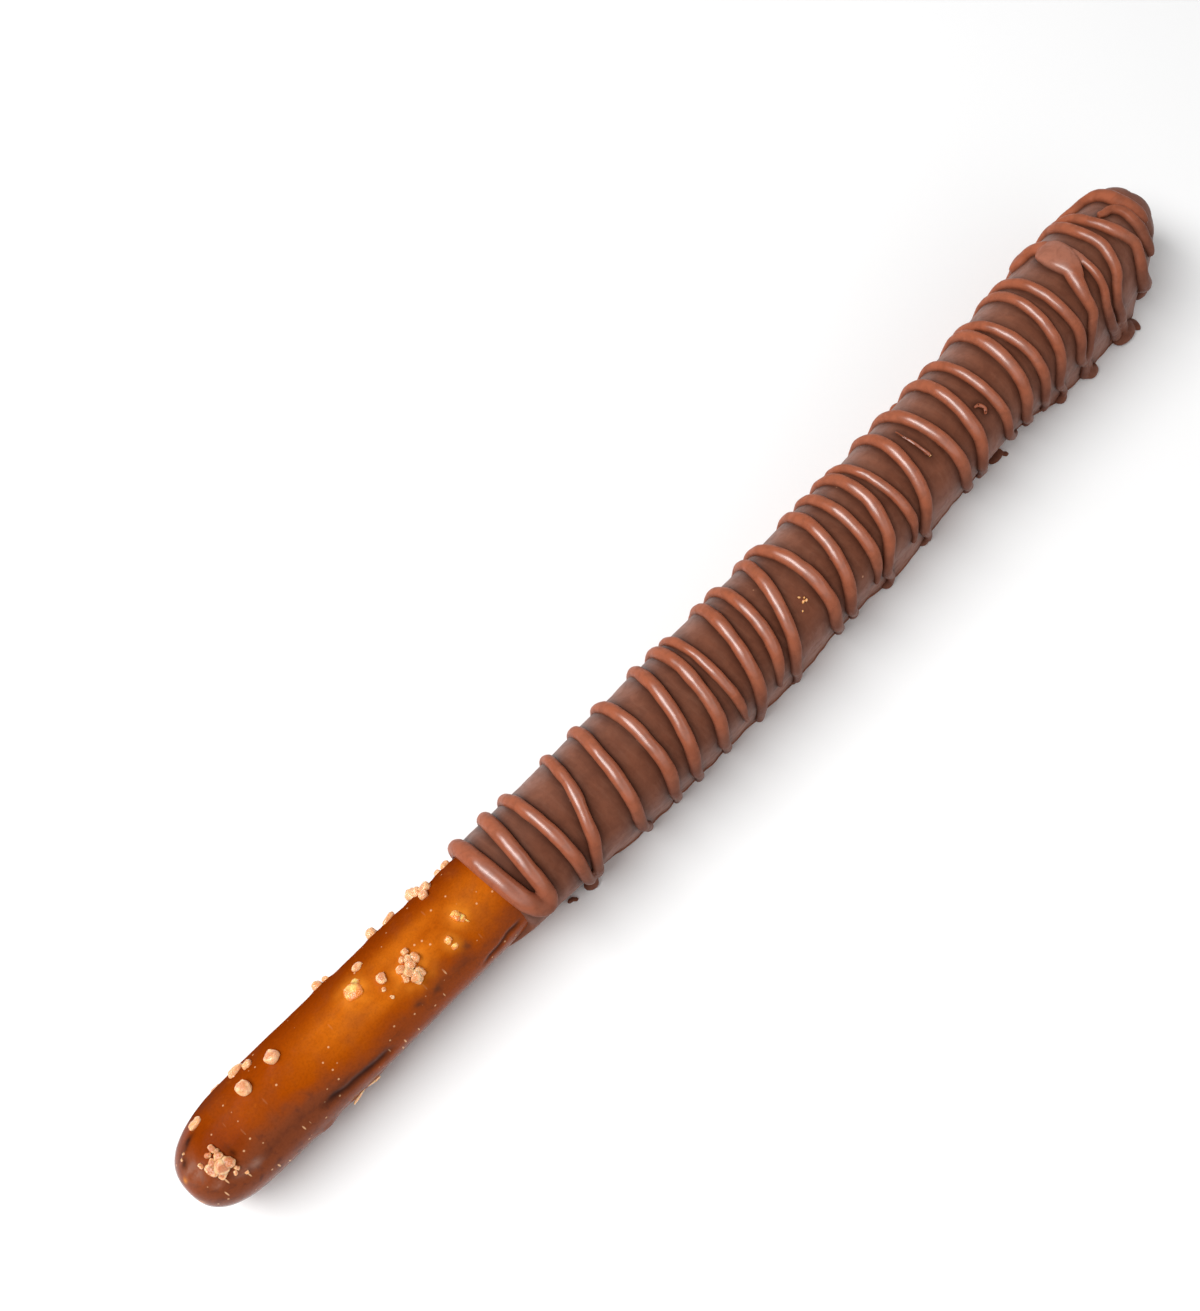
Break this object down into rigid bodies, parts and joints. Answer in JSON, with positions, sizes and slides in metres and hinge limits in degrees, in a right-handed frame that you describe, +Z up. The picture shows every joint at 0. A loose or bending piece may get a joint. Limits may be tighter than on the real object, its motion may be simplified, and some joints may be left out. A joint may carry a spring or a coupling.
{
  "type": "chocolate covered pretzel rod",
  "caption": "Baked pretzel rod with a bare salted end, the rest dipped in milk chocolate and striped with thick chocolate drizzle.",
  "frame": {"origin": "middle of the bounding box, on the flat underside that rests on the table", "axes": "+X along the rod from its bare end towards its dipped end, +Z up"},
  "size_m": [0.1921, 0.0203, 0.017],
  "materials": {
    "crust": "satin",
    "salt": "matte",
    "chocolate": "matte",
    "drizzle": "satin"
  },
  "bodies": {
    "root": {"pretzel_rod": "crust", "chocolate_coat": "chocolate"}
  },
  "joints": []
}
